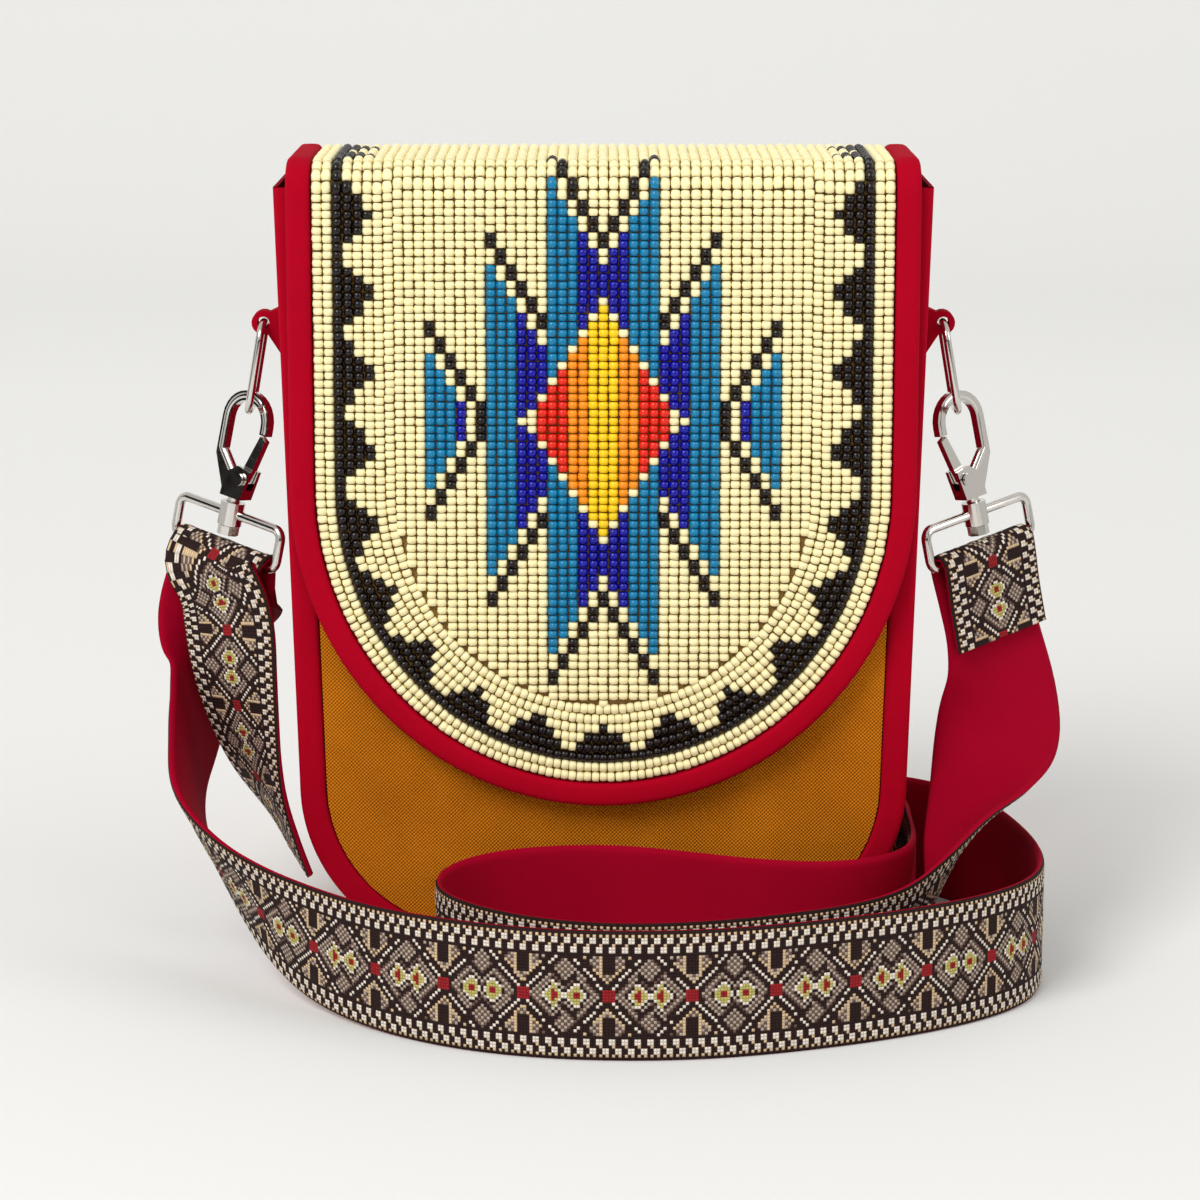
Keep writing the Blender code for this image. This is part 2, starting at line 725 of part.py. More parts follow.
LEFT_TAIL = [
    ((-115.5, -13.0, 106.0), (-0.79, 0.60, 0.12)),
    ((-114.5, -13.0, 92.0), (-0.78, 0.62, 0.10)),
    ((-112.5, -12.0, 76.0), (-0.71, 0.70, 0.08)),
    ((-107.5, -11.5, 55.0), (-0.53, 0.84, 0.06)),
    ((-99.5, -10.5, 37.0), (-0.32, 0.94, 0.05)),
    ((-94.5, -9.5, 25.0), (-0.25, 0.96, 0.03)),
]


def strap_stations():
    """The whole strap in order, from the right end round to the left: centres and top edges."""
    frame = clasp_frame()
    middle = STRAP_WIDE / 2.0 + GAP
    stations = wrap_stations(frame, 1)
    stations += [(Vector(p), Vector(u)) for p, u in RIGHT_DROP]
    stations += [(Vector((x, y, middle)), Vector(UPRIGHT)) for x, y in FLOOR_RUN]
    stations += [(Vector(p), Vector(u)) for p, u in LEFT_RISE]
    stations += list(reversed(wrap_stations(frame, -1)))
    stations += [(Vector(p), Vector(u)) for p, u in LEFT_TAIL]
    return stations


def spline_point(values, n, t):
    """A Catmull-Rom point between values n and n + 1."""
    a = values[max(n - 1, 0)]
    b, c = values[n], values[n + 1]
    d = values[min(n + 2, len(values) - 1)]
    return 0.5 * ((2.0 * b) + (c - a) * t + (2.0 * a - 5.0 * b + 4.0 * c - d) * t * t
                  + (3.0 * b - a - 3.0 * c + d) * t ** 3)


def strap_line():
    """The strap's stations, closer together, read from a smooth curve through them."""
    stations = strap_stations()
    places = [p for p, _ in stations]
    ups = [u.normalized() for _, u in stations]
    line = []
    for n in range(len(places) - 1):
        pieces = max(1, round((places[n + 1] - places[n]).length / STRAP_STEP))
        for k in range(pieces):
            t = k / pieces
            line.append((spline_point(places, n, t), spline_point(ups, n, t).normalized()))
    line.append((places[-1], ups[-1]))
    return line


def make_strap():
    """A flat ribbon carried along the line, with its top edge up."""
    line = strap_line()
    bm = bmesh.new()
    rows = []
    for n, (place, up) in enumerate(line):
        ahead = line[min(n + 1, len(line) - 1)][0] - line[max(n - 1, 0)][0]
        up = (up - ahead * up.dot(ahead) / ahead.length_squared).normalized()
        inward = ahead.cross(up).normalized()
        half_w = up * STRAP_WIDE / 2.0
        half_t = inward * STRAP_THICK / 2.0
        ring = (place + half_w - half_t, place + half_w + half_t,
                place - half_w + half_t, place - half_w - half_t)
        rows.append([bm.verts.new(point) for point in ring])
    for one, two in zip(rows, rows[1:]):
        for k in range(4):
            bm.faces.new((one[k], one[(k + 1) % 4], two[(k + 1) % 4], two[k]))
    bm.faces.new(reversed(rows[0]))
    bm.faces.new(rows[-1])
    bmesh.ops.recalc_face_normals(bm, faces=bm.faces)
    add("strap", bm, STRAP)


def make_snap():
    """Two halves of a closure: one under the flap and one on the front panel."""
    panel_front = FRONT_Y + BINDING_DEEP - CANVAS_THICK
    for name, y in (("snap_plate", panel_front - GAP - SNAP_THICK),
                    ("snap_cap", panel_front - 2.0 * GAP - 2.0 * SNAP_THICK)):
        disc = cylinder(SNAP_R, 0.0, SNAP_THICK)
        turned(disc, Matrix.Rotation(math.radians(90.0), 4, "X"))
        bmesh.ops.translate(disc, vec=(0.0, y + SNAP_THICK, SNAP_Z), verts=disc.verts)
        add(name, disc, METAL)


def make_side(side):
    frame = clasp_frame()
    make_tab(side)
    make_ring(side)
    make_loop(side, frame)
    make_pin(side, frame)
    make_hook(side, frame)
    make_gate(side, frame)
    make_rivet(side, frame)


clear_scene()
PARTS = collection("beaded_crossbody_bag")
CUTTERS = collection("cutters")
RED = material("red_binding", (0.43, 0.0, 0.015), FABRIC)
RED_CANVAS = material("red_gusset", (0.30, 0.0, 0.012), FABRIC)
CANVAS = material("ochre_canvas", (0.52, 0.16, 0.01), FABRIC)
LINING = material("red_lining", (0.28, 0.0, 0.015), FABRIC)
CREAM = material("cream_beads", (0.92, 0.84, 0.42), BEAD)
DARK = material("dark_beads", (0.012, 0.006, 0.006), BEAD)
YELLOW = material("yellow_beads", (0.95, 0.62, 0.01), BEAD)
ORANGE = material("orange_beads", (0.90, 0.28, 0.01), BEAD)
FLAME = material("flame_beads", (0.75, 0.02, 0.01), BEAD)
COBALT = material("cobalt_beads", (0.005, 0.005, 0.32), BEAD)
TEAL = material("teal_beads", (0.005, 0.19, 0.38), BEAD)
METAL = material("nickel", (0.75, 0.73, 0.70), NICKEL)
STRAP = material("woven_strap", (0.12, 0.07, 0.05), FABRIC)

make_body()
make_flap()
make_beadwork()
make_snap()
for hand in (-1, 1):
    make_side(hand)
make_strap()
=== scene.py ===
"""The looks of the beaded crossbody bag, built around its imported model.

Formulas work in millimetres and turn to metres when a mesh is made.
X is the bag's width, -Y its front and Z up. On the flap, s runs up the front, over the
bag and down its back, and h is the height above the flap's inner surface.
"""

import json
import math

import bpy
import numpy as np
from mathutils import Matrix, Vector


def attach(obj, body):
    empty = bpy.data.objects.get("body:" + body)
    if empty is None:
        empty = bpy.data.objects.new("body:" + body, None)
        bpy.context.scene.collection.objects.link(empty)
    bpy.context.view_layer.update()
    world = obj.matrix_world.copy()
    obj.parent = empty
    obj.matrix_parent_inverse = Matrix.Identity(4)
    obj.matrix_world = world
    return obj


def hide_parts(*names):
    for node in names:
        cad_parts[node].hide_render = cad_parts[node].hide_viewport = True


MM = 0.001

# Bag
TOP_HALF = 98.0
LOW_HALF = 93.0
CORNER_R = 54.0
BODY_TOP = 237.0
FRONT_Y = -28.5
BACK_Y = 25.5
BINDING_WIDE = 8.0
BINDING_DEEP = 3.0

# Flap
FLAP_HALF = 94.0
FLAP_TIP = 49.5
FLAP_ROUND = 97.5
FLAP_CROWN = 241.5
FOLD_R = 6.0
REACH_BACK = 44.0
FLAP_FRONT = -29.5
FLAP_BACK = 26.0
FLAP_LEAN = 2.5
FLAP_BINDING = 7.5
FLAP_DEEP = 4.4
RISE = FLAP_CROWN - FOLD_R
ARC_LONG = FOLD_R * math.pi / 2.0
TOP_LONG = FLAP_BACK - FLAP_FRONT - 2.0 * FOLD_R
FLAP_MIDDLE = FLAP_TIP + FLAP_ROUND
BEADS_END = RISE + ARC_LONG + TOP_LONG
FLAP_END = BEADS_END + ARC_LONG + REACH_BACK

# Beads
PITCH = 3.0
ROW = 2.4
BEAD_R = 1.53
BEAD_LONG = 2.34
BEAD_H = 3.05
MOTIF_Z = 168.0
BEADS_INSET = 7.8
FIRST_ROW = BEADS_INSET + PITCH / 2.0
EDGE_ROWS = 8
DARK_ROW = 2
POINTS = 23
POINT_HALF = (8.4, 5.4, 1.8)
POINT_SLACK = 0.3
DARK_LINE = 13.8
RINGS = np.array([-0.5, -0.41, 0.0, 0.41, 0.5])
RING_R = np.array([0.42, 0.87, 1.0, 0.87, 0.42])
BEAD_SIDES = 7
BEAD_ARC = 108.0

# Each glass: the bead's colour, the painted shade at the bead's ends along its thread where it
# meets its neighbours, and the plate behind it
GLASS = {
    "cream": ((252, 240, 186), (120, 86, 36), (250, 238, 180)),
    "dark": ((18, 8, 7), (4, 2, 2), (25, 10, 10)),
    "yellow": ((250, 208, 16), (150, 92, 4), (250, 210, 20)),
    "orange": ((245, 146, 18), (130, 52, 4), (245, 150, 20)),
    "flame": ((225, 34, 14), (90, 4, 2), (225, 35, 15)),
    "cobalt": ((8, 8, 150), (2, 2, 50), (10, 10, 150)),
    "teal": ((10, 122, 166), (2, 44, 70), (10, 120, 165)),
}

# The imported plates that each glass's beads take the place of
PLATES = {
    "cream": ("cream_bead_field", "cream_bead_rim"),
    "dark": ("dark_bead_border",),
    "yellow": ("yellow_diamond",),
    "orange": ("orange_diamond", "orange_diamond_left"),
    "flame": ("flame_diamond", "flame_diamond_left"),
    "cobalt": ("cobalt_centre", "cobalt_centre_low", "cobalt_dash", "cobalt_dash_left",
               "cobalt_side", "cobalt_side_left", "cobalt_side_low", "cobalt_side_low_left"),
    "teal": ("teal_inner", "teal_inner_left", "teal_inner_low", "teal_inner_low_left",
             "teal_middle", "teal_middle_left", "teal_outer", "teal_outer_left"),
}

# Clasps
CLASP = (-114.2, -8.0, 135.4)
CLASP_YAW = 38.0
CLASP_TILT = 11.4
WIRE_R = 1.5
LOOP_HALF = 21.5
LOOP_DROP = 12.5
HOOK_HALF = 8.0
HOOK_TALL = 37.0
BOW_R = 1.55
BOW_FOOT = 1.5
BOW_LOW = 12.0
BOW_SHOULDER = 19.0
BOW_TIP = 27.0
LOOP_BEND = 3.0
RING_BEND = 5.0
WIRE_SIDES = 14
RING_X = 103.0
RING_Z = 194.5
RING_TALL = 27.2
RING_WIRE_R = 1.2
RING_HALF = 8.5
RING_TILT = 9.9

# Strap
STRAP_WIDE = 38.0
STRAP_THICK = 2.2
TAB_LONG = 27.0
LAYER_APART = 1.7
CELL = 0.9
CELLS_ACROSS = 42
EASE = 24.0
EASE_CLEAR = 8.0
EASE_BLEND = 12.0
LIGHT_YARN_LIFT = 0.05
EDGE_DROP = 0.9
STITCH_AT = 15.6
STITCH_DEEP = 0.16

# The strap's stations between its turns over the loops: centres, and ways to its top edge
RIGHT_DROP = [
    ((123.5, -10.5, 81.0), (0.93, 0.36, -0.10)),
    ((121.0, -19.0, 66.0), (0.98, -0.20, -0.02)),
    ((115.0, -33.0, 53.0), (0.66, -0.73, 0.15)),
    ((106.5, -53.0, 42.5), (0.25, -0.86, 0.42)),
    ((97.5, -71.0, 31.5), (0.10, -0.62, 0.78)),
    ((87.0, -86.0, 23.5), (0.05, -0.32, 0.94)),
    ((74.0, -98.0, 20.0), (0.01, -0.10, 0.99)),
]
FLOOR_RUN = [(52.0, -109.5), (28.0, -117.0), (4.0, -119.0), (-18.0, -113.5), (-36.0, -101.5),
             (-46.5, -87.0), (-48.5, -72.0), (-44.0, -58.0), (-33.0, -46.5), (-16.0, -40.0),
             (5.0, -39.5), (26.0, -46.5), (46.0, -54.0), (66.0, -57.0), (82.0, -52.0),
             (92.5, -40.0), (95.5, -24.0), (96.0, 0.0), (96.0, 19.0), (90.5, 30.5),
             (76.0, 32.0), (62.0, 31.5), (52.0, 36.5), (52.0, 45.0), (62.0, 50.0),
             (80.0, 49.0), (98.0, 43.0), (113.0, 29.0), (123.0, 9.0), (129.0, -15.0),
             (132.0, -40.0), (130.0, -62.0), (122.0, -79.0), (106.0, -94.0), (84.0, -107.0),
             (58.0, -117.5), (32.0, -124.5), (6.0, -126.5), (-20.0, -123.5), (-44.0, -115.0)]
LEFT_RISE = [
    ((-66.0, -101.5, 19.6), (-0.01, -0.06, 1.0)),
    ((-85.0, -86.0, 21.8), (-0.02, -0.18, 0.98)),
    ((-101.0, -70.0, 27.0), (-0.05, -0.44, 0.90)),
    ((-115.0, -52.0, 35.5), (-0.05, -0.76, 0.65)),
    ((-125.5, -33.0, 46.5), (-0.04, -0.93, 0.36)),
    ((-129.0, -13.0, 58.5), (-0.10, -0.97, 0.22)),
    ((-128.0, 4.0, 69.0), (-0.30, -0.94, 0.10)),
    ((-125.5, 12.5, 82.0), (-0.52, -0.85, 0.02)),
    ((-123.0, 12.0, 93.0), (-0.80, -0.58, 0.03)),
    ((-119.5, 7.5, 104.0), (-0.97, -0.02, 0.08)),
]
LEFT_TAIL = [
    ((-115.5, -13.0, 106.0), (-0.79, 0.60, 0.12)),
    ((-114.5, -13.0, 92.0), (-0.78, 0.62, 0.10)),
    ((-112.5, -12.0, 76.0), (-0.71, 0.70, 0.08)),
    ((-107.5, -11.5, 55.0), (-0.53, 0.84, 0.06)),
    ((-99.5, -10.5, 37.0), (-0.32, 0.94, 0.05)),
    ((-94.5, -9.5, 25.0), (-0.25, 0.96, 0.03)),
]

# The woven figure, in millimetres along the strap and out from its middle line
SLOPE = 1.15
LINES = ((-2.2, 3.4, "brown"), (0.0, 0.9, "cream"), (3.4, 4.3, "tan"))
DIAMOND_STEPS = ((1.35, "brown"), (1.1, "cream"), (0.86, "olive"), (0.42, "red"))
EDGE_DOTS = ((12.6, 14.4, 3.6, 1.8, 0.0, "cream"), (14.4, 15.3, 3.6, 0.9, 0.0, "tan"),
             (15.3, 17.1, 3.6, 1.8, 1.8, "cream"), (17.6, 18.3, 1.8, 0.9, 0.0, "tan"))
YARNS = {
    "brown": (46, 28, 26),
    "cream": (243, 230, 214),
    "tan": (222, 192, 152),
    "olive": (196, 184, 104),
    "red": (158, 32, 38),
    "grey": (186, 168, 152),
    "umber": (108, 84, 74),
}
REPEAT = 24.0

# Canvas weave
CANVAS_PITCH = 1.15
CANVAS_DEPTH = 0.35

# Camera
TARGET = (-0.001, -0.028, 0.1123)
CAMERA_FAR = 1.1
CAMERA_TILT = 12.0
LENS = 108.9
SENSOR = 36.0

# Studio, in metres and watts
WORLD_LIGHT = 0.68
LAMP_AIM = (0.0, 0.0, 0.1)
LAMPS = (
    ("window", (-0.9, -1.3, 1.5), 1.0, 27.0),
    ("side", (1.4, -0.6, 0.9), 0.8, 5.0),
)
FLOOR_HALF = 3.2
FLOOR_FRONT = -3.0
FLOOR_BACK = 1.6
SWEEP_R = 0.6
WALL_TOP = 3.4
CARD_AIM = (0.0, 0.0, 0.15)
FLOOR_COLOUR = (0.77, 0.77, 0.76, 1.0)
WALL_COLOUR = (0.93, 0.93, 0.92, 1.0)
DARK_CARDS = (
    ("card_low", (0.0, -1.6, 0.25), 0.9, 0.16),
    ("card_left", (-1.1, -0.2, 0.3), 0.2, 0.6),
    ("card_right", (0.9, -1.1, 0.5), 0.14, 0.6),
)


def linear(red, green, blue):
    """A screen colour from 0 to 255 as linear light."""
    c = np.array([red, green, blue]) / 255.0
    c = np.where(c <= 0.04045, c / 12.92, ((c + 0.055) / 1.055) ** 2.4)
    return (float(c[0]), float(c[1]), float(c[2]), 1.0)


class Paint:
    """A node material with one principled shader, and short calls for its nodes."""

    def __init__(self, name, roughness=0.8, metallic=0.0):
        self.material = bpy.data.materials.new(name)
        self.material.use_nodes = True
        self.tree = self.material.node_tree
        self.shader = self.tree.nodes["Principled BSDF"]
        self.set(Roughness=roughness, Metallic=metallic)

    def set(self, **values):
        for key, value in values.items():
            self.feed(self.shader.inputs[key.replace("_", " ")], value)

    def feed(self, socket, value):
        if isinstance(value, bpy.types.NodeSocket):
            self.tree.links.new(value, socket)
        else:
            socket.default_value = value

    def node(self, kind, inputs=(), **settings):
        made = self.tree.nodes.new(kind)
        for key, value in settings.items():
            setattr(made, key, value)
        for key, value in dict(inputs).items():
            self.feed(made.inputs[key], value)
        return made

    def math(self, operation, *values):
        made = self.node("ShaderNodeMath", operation=operation)
        for socket, value in zip(made.inputs, values):
            self.feed(socket, value)
        return made.outputs[0]

    def axes(self):
        place = self.node("ShaderNodeTexCoord").outputs["Object"]
        return self.node("ShaderNodeSeparateXYZ", {"Vector": place}).outputs

    def noise(self, scale, detail=3.0):
        place = self.node("ShaderNodeTexCoord").outputs["Object"]
        made = self.node("ShaderNodeTexNoise", {"Vector": place, "Scale": scale, "Detail": detail})
        return made.outputs["Fac"]

    def mix(self, factor, low, high):
        made = self.node("ShaderNodeMix", data_type="RGBA")
        self.feed(made.inputs["Factor"], factor)
        self.feed(made.inputs["A"], low)
        self.feed(made.inputs["B"], high)
        return made.outputs["Result"]

    def bump(self, height, distance):
        inputs = {"Height": height, "Distance": distance, "Strength": 1.0}
        self.set(Normal=self.node("ShaderNodeBump", inputs).outputs["Normal"])

    def wave(self, value, pitch):
        """The cosine of a place in metres, repeating at a pitch in millimetres."""
        turns = self.math("MULTIPLY", value, 2.0 * math.pi / (pitch * MM))
        return self.math("COSINE", turns)

    def dots(self, axes, across, pitch):
        """Staggered yarn dots from 0 to 1: the product of a wave across and a wave up."""
        crossed = self.math("MULTIPLY", self.wave(axes[across], pitch),
                            self.wave(axes["Z"], pitch))
        return self.math("MULTIPLY_ADD", crossed, 0.5, 0.5)


def cloth(name, bright, dark, pitch, depth, across="X"):
    """Woven cloth: two crossed waves make staggered yarn dots, darker in the hollows between them
    as painted shade, and noise varies the dye.
    """
    paint = Paint(name, 0.85)
    lift = paint.dots(paint.axes(), across, pitch)
    stain = paint.math("MULTIPLY_ADD", paint.noise(38.0), 0.5, -0.25)
    # Painted shade in the weave's hollows: colour goes from dark where the yarn dots dip to bright
    # on their tops, plus the dye noise
    tone_and_shade = paint.math("ADD", paint.math("POWER", lift, 0.7), stain)
    paint.set(Base_Color=paint.mix(tone_and_shade, dark, bright), Specular_IOR_Level=0.06)
    paint.bump(lift, depth * MM)
    return paint.material


def flap_cloth(name):
    """The flap's canvas: ochre on its back, with painted shade in the hollows between its yarn
    dots, and a plain tan cloth under the beads.
    """
    paint = Paint(name, 0.85)
    axes = paint.axes()
    lift = paint.dots(axes, "X", CANVAS_PITCH)
    rear = paint.math("GREATER_THAN", axes["Y"], FLAP_BACK * MM * 0.8)
    # Painted shade: the ochre darkens in the hollows between yarn dots
    ochre = paint.mix(lift, linear(112, 54, 4), linear(232, 140, 26))
    paint.set(Base_Color=paint.mix(rear, linear(150, 116, 66), ochre), Specular_IOR_Level=0.06)
    paint.bump(lift, CANVAS_DEPTH * MM)
    return paint.material


def beads(name, colour, end_shade):
    """Opaque glass beads: each bead has its own tone, and is darker near the thread, at its ends,
    as painted shade where it meets its neighbours.
    """
    paint = Paint(name, 0.22)
    tone_and_shade = paint.node("ShaderNodeAttribute", attribute_name="tone_and_shade").outputs["Fac"]
    # The colour runs from the painted end shade to the bead's colour: random tone per bead, and
    # painted shade at its ends
    paint.set(Base_Color=paint.mix(tone_and_shade, end_shade, colour), Specular_IOR_Level=0.4)
    return paint.material


def nickel(name):
    """Polished nickel, whose roughness drifts from patch to patch."""
    paint = Paint(name, metallic=1.0)
    smear = paint.noise(240.0)
    paint.set(Base_Color=linear(214, 210, 204))
    paint.set(Roughness=paint.math("MULTIPLY_ADD", smear, 0.16, 0.06))
    return paint.material


def webbing(name):
    """The strap's figured face: yarn colours come with the mesh, and cells give it ribs, each cell
    darker towards its edges as painted shade.
    """
    paint = Paint(name, 0.8)
    yarn = paint.node("ShaderNodeAttribute", attribute_name="yarn").outputs["Color"]
    place = paint.node("ShaderNodeUVMap", uv_map="cells").outputs["UV"]
    cells = paint.node("ShaderNodeSeparateXYZ", {"Vector": place}).outputs
    rib = paint.math("ABSOLUTE", paint.math("SINE", paint.math("MULTIPLY", cells["X"], math.pi)))
    weft = paint.math("ABSOLUTE", paint.math("SINE", paint.math("MULTIPLY", cells["Y"], math.pi)))
    height = paint.math("MULTIPLY", rib, weft)
    # Painted shade: each yarn cell darkens in the dips at its edges, down to 0.62 of its colour
    shade = paint.math("MULTIPLY_ADD", height, 0.55, 0.62)
    dark = paint.node("ShaderNodeVectorMath", {0: yarn}, operation="SCALE")
    paint.feed(dark.inputs["Scale"], shade)
    paint.set(Base_Color=dark.outputs["Vector"], Specular_IOR_Level=0.15)
    paint.bump(height, 0.25 * MM)
    return paint.material


def grid_quads(rows, columns, close_rows=False, close_columns=False):
    """The quads between neighbouring points of a grid numbered row by row."""
    r = np.arange(rows if close_rows else rows - 1)
    c = np.arange(columns if close_columns else columns - 1)
    r, c = np.meshgrid(r, c, indexing="ij")
    r2, c2 = (r + 1) % rows, (c + 1) % columns
    quads = np.stack([r * columns + c, r * columns + c2, r2 * columns + c2, r2 * columns + c], -1)
    return quads.reshape(-1, 4)


def piece(name, points, quads, material, body="bag"):
    """A smooth-shaded mesh from points in millimetres, on its body and in its slot."""
    mesh = bpy.data.meshes.new(name)
    mesh.from_pydata((points.reshape(-1, 3) * MM).tolist(), [], quads.tolist())
    mesh.materials.append(material)
    mesh.shade_smooth()
    made = bpy.data.objects.new(name, mesh)
    bpy.context.scene.collection.objects.link(made)
    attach(made, body)
    return made


def on_flap(x, s, h):
    """Points at height h over the flap: a leaning front, a quarter turn, the top, and down."""
    t1 = np.clip(s - RISE, 0.0, ARC_LONG)
    t2 = np.clip(s - RISE - ARC_LONG, 0.0, TOP_LONG)
    t3 = np.clip(s - BEADS_END, 0.0, ARC_LONG)
    down = np.maximum(s - BEADS_END - ARC_LONG, 0.0)
    turn = (t1 + t3) / FOLD_R
    low = np.minimum(s, RISE)
    lean = FLAP_LEAN * (RISE - low) / (RISE - FLAP_TIP)
    y = FLAP_FRONT - lean + FOLD_R * (1.0 - np.cos(t1 / FOLD_R)) + t2
    y = y + FOLD_R * np.sin(t3 / FOLD_R) - h * np.cos(turn)
    z = low + FOLD_R * np.sin(t1 / FOLD_R) - FOLD_R * (1.0 - np.cos(t3 / FOLD_R))
    z = z - down + h * np.sin(turn)
    return np.stack([x + 0.0 * s, y, z], -1)


def u_path(inset, end, step):
    """Even steps along the flap's U at an inset: places (x, s), ways, angles round its half
    ellipse, and distances past that ellipse's start."""
    half, deep = FLAP_HALF - inset, FLAP_ROUND - inset
    straight = end - FLAP_MIDDLE
    turned = math.pi * (half + deep) / 2.0
    count = int(round((2.0 * straight + turned) / step))
    far = (np.arange(count) + 0.5) / count * (2.0 * straight + turned)
    angle = np.clip((far - straight) / turned, 0.0, 1.0) * math.pi
    x = half * np.cos(angle)
    s = FLAP_MIDDLE - deep * np.sin(angle)
    s = s + np.maximum(straight - far, 0.0) + np.maximum(far - straight - turned, 0.0)
    way = np.stack([-half * np.sin(angle), -deep * np.cos(angle)], -1)
    way /= np.linalg.norm(way, axis=1, keepdims=True)
    return np.stack([x, s], -1), way, angle, far - straight


def edge_rows():
    """The beads of the rows that follow the flap's edge: places, ways and colour names."""
    places, ways, names = [], [], []
    dark_half = FLAP_HALF - DARK_LINE
    dark_turn = math.pi * (dark_half + FLAP_ROUND - DARK_LINE) / 2.0
    straight = BEADS_END - FLAP_MIDDLE
    spacing = (2.0 * straight + dark_turn) / POINTS
    for k in range(EDGE_ROWS):
        place, way, angle, past = u_path(FIRST_ROW + k * PITCH, BEADS_END, ROW)
        on_line = straight + angle / math.pi * dark_turn
        on_line = np.where(place[:, 1] > FLAP_MIDDLE,
                           np.where(place[:, 0] > 0.0, straight + np.minimum(past, 0.0),
                                    straight + dark_turn + place[:, 1] - FLAP_MIDDLE), on_line)
        from_point = np.abs(on_line % spacing - spacing / 2.0)
        if k == DARK_ROW:
            dark = np.full(len(place), True)
        elif DARK_ROW < k <= DARK_ROW + len(POINT_HALF):
            dark = from_point < POINT_HALF[k - DARK_ROW - 1] + POINT_SLACK
        else:
            dark = np.full(len(place), False)
        places.append(place)
        ways.append(way)
        names.append(np.where(dark, "dark", "cream"))
    return np.concatenate(places), np.concatenate(ways), np.concatenate(names)


def motif_names(i, r):
    """The colour of the bead in column i and row r, counted from the motif's middle."""
    a, q = np.abs(i), np.abs(r)
    beside = np.maximum(16 - 2 * a, 1)
    name = np.full(i.shape, "cream", dtype="<U8")
    diamond = (a <= 6) & (q <= 14 - 2 * a)
    centre = (a <= 2) & (q >= beside) & (q <= 19 + 2 * a)
    inner = (a >= 3) & (a <= 5) & (q >= beside) & (q <= 19 + 2 * a)
    side = (a >= 6) & (a <= 8) & (q >= beside) & (q <= 2 * a - 3)
    middle = (a >= 9) & (a <= 11) & (q <= 2 * a - 3)
    outer = (a >= 15) & (a <= 17) & (q <= 2 * a - 26)
    dash = (a == 14) & (q <= 2)
    name[diamond & (a <= 1)] = "yellow"
    name[diamond & (a >= 2) & (a <= 3)] = "orange"
    name[diamond & (a >= 4)] = "flame"
    name[centre | side | dash] = "cobalt"
    name[inner | middle | outer] = "teal"
    for first, last, shift in ((0, 5, 22), (6, 11, 0), (13, 17, -23)):
        low = 2 * a + shift
        name[(a >= first) & (a <= last) & (q >= low) & (q <= low + 1)] = "dark"
    name[(a == 12) & (q <= 2)] = "dark"
    return name


def field_rows():
    """The upright columns inside the edge rows: places, ways and colour names."""
    inset = BEADS_INSET + EDGE_ROWS * PITCH
    half, deep = FLAP_HALF - inset, FLAP_ROUND - inset
    reach = int(half / PITCH)
    i, r = np.meshgrid(np.arange(-reach, reach + 1), np.arange(-50, 60), indexing="ij")
    x, s = i * half / (reach + 0.5), MOTIF_Z + r * ROW
    low = FLAP_MIDDLE - deep * np.sqrt(np.clip(1.0 - (x / half) ** 2, 0.0, 1.0))
    keep = (s > low + 0.3) & (s < BEADS_END) & (np.abs(x) < half)
    place = np.stack([x[keep], s[keep]], -1)
    way = np.tile([0.0, 1.0], (len(place), 1))
    return place, way, motif_names(i[keep], r[keep])


def bead_mesh(name, place, way, colour, seed, nodes):
    """Barrel beads, open at the back: rings of a radius that swells in the middle."""
    rng = np.random.default_rng(seed)
    count = len(place)
    angle = np.radians(np.linspace(-BEAD_ARC, BEAD_ARC, BEAD_SIDES))
    size = 1.0 + rng.normal(0.0, 0.018, count)
    jog = rng.normal(0.0, 0.07, (count, 2))
    skew = rng.normal(0.0, 0.035, count)
    turned = np.stack([-way[:, 1], way[:, 0]], -1)
    along = way * np.cos(skew)[:, None] + turned * np.sin(skew)[:, None]
    side = np.stack([along[:, 1], -along[:, 0]], -1)
    radius = (BEAD_R * size)[:, None, None] * RING_R[None, :, None]
    out = radius * np.sin(angle)
    high = radius * np.cos(angle)
    run = (BEAD_LONG * size)[:, None, None] * RINGS[None, :, None] + 0.0 * angle
    flat = (place + jog)[:, None, None, :] + out[..., None] * side[:, None, None, :]
    flat = flat + run[..., None] * along[:, None, None, :]
    height = BEAD_H + high + rng.normal(0.0, 0.05, count)[:, None, None]
    points = on_flap(flat[..., 0], flat[..., 1], height)
    one = grid_quads(len(RINGS), BEAD_SIDES)
    per = len(RINGS) * BEAD_SIDES
    quads = (np.arange(count) * per)[:, None, None] + one[None]
    made = piece(name, points, quads.reshape(-1, 4), colour)
    tone_and_shade = np.repeat(rng.uniform(0.9, 1.0, count), per).reshape(count, len(RINGS), BEAD_SIDES)
    # Painted shade: the end rings, where each bead meets its neighbours along the thread, are
    # darkened to 0.4
    tone_and_shade = tone_and_shade * np.where(np.abs(RINGS) > 0.45, 0.4, 1.0)[None, :, None]
    layer = made.data.attributes.new("tone_and_shade", "FLOAT", "POINT")
    layer.data.foreach_set("value", tone_and_shade.ravel().astype(np.float32))
    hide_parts(*nodes)


def dress_beads():
    """Sorts every bead by colour and makes one piece of each colour."""
    edge, field = edge_rows(), field_rows()
    place, way, name = (np.concatenate([a, b]) for a, b in zip(edge, field))
    for seed, (key, (bright, end_shade, _)) in enumerate(GLASS.items()):
        chosen = name == key
        glass = beads(key + "_glass", linear(*bright), linear(*end_shade))
        bead_mesh(key + "_beads", place[chosen], way[chosen], glass, seed, PLATES[key])


def tape_profile(wide, deep):
    """A folded tape's cross-section: inset and height, with round shoulders and a flat back."""
    turns = np.radians(np.linspace(180.0, 0.0, 15))
    flat = np.sign(np.cos(turns)) * np.abs(np.cos(turns)) ** 0.55
    inset = wide / 2.0 + wide / 2.0 * flat
    height = deep * np.abs(np.sin(turns)) ** 0.45
    return np.append(inset, [wide, 0.0]), np.append(height, [0.0, 0.0])


